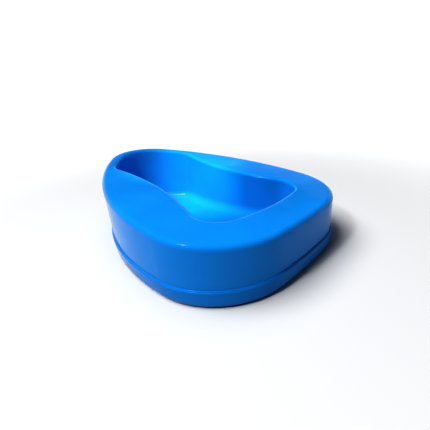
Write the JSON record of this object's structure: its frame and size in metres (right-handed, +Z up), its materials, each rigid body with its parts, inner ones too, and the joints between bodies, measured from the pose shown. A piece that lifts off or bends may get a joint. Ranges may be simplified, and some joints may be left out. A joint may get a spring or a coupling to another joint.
{
  "type": "bedpan",
  "caption": "Hollow moulded bedpan with a keyhole opening, a broad sloping seat deck, a tapered pouring mouth and a shallow base tray.",
  "frame": {"origin": "centre of the bounding box, on the floor the pan stands on", "axes": "+X to the wide seat end, -X to the narrow pouring mouth, +Y across the pan, +Z up"},
  "size_m": [0.3689, 0.2804, 0.1069],
  "materials": {
    "shell_plastic": "glossy moulded polypropylene",
    "tray_plastic": "glossy moulded polypropylene",
    "bead_plastic": "glossy welded polypropylene"
  },
  "bodies": {
    "root": {"upper_shell": "shell_plastic", "base_tray": "tray_plastic", "seam_bead": "bead_plastic"}
  },
  "joints": []
}
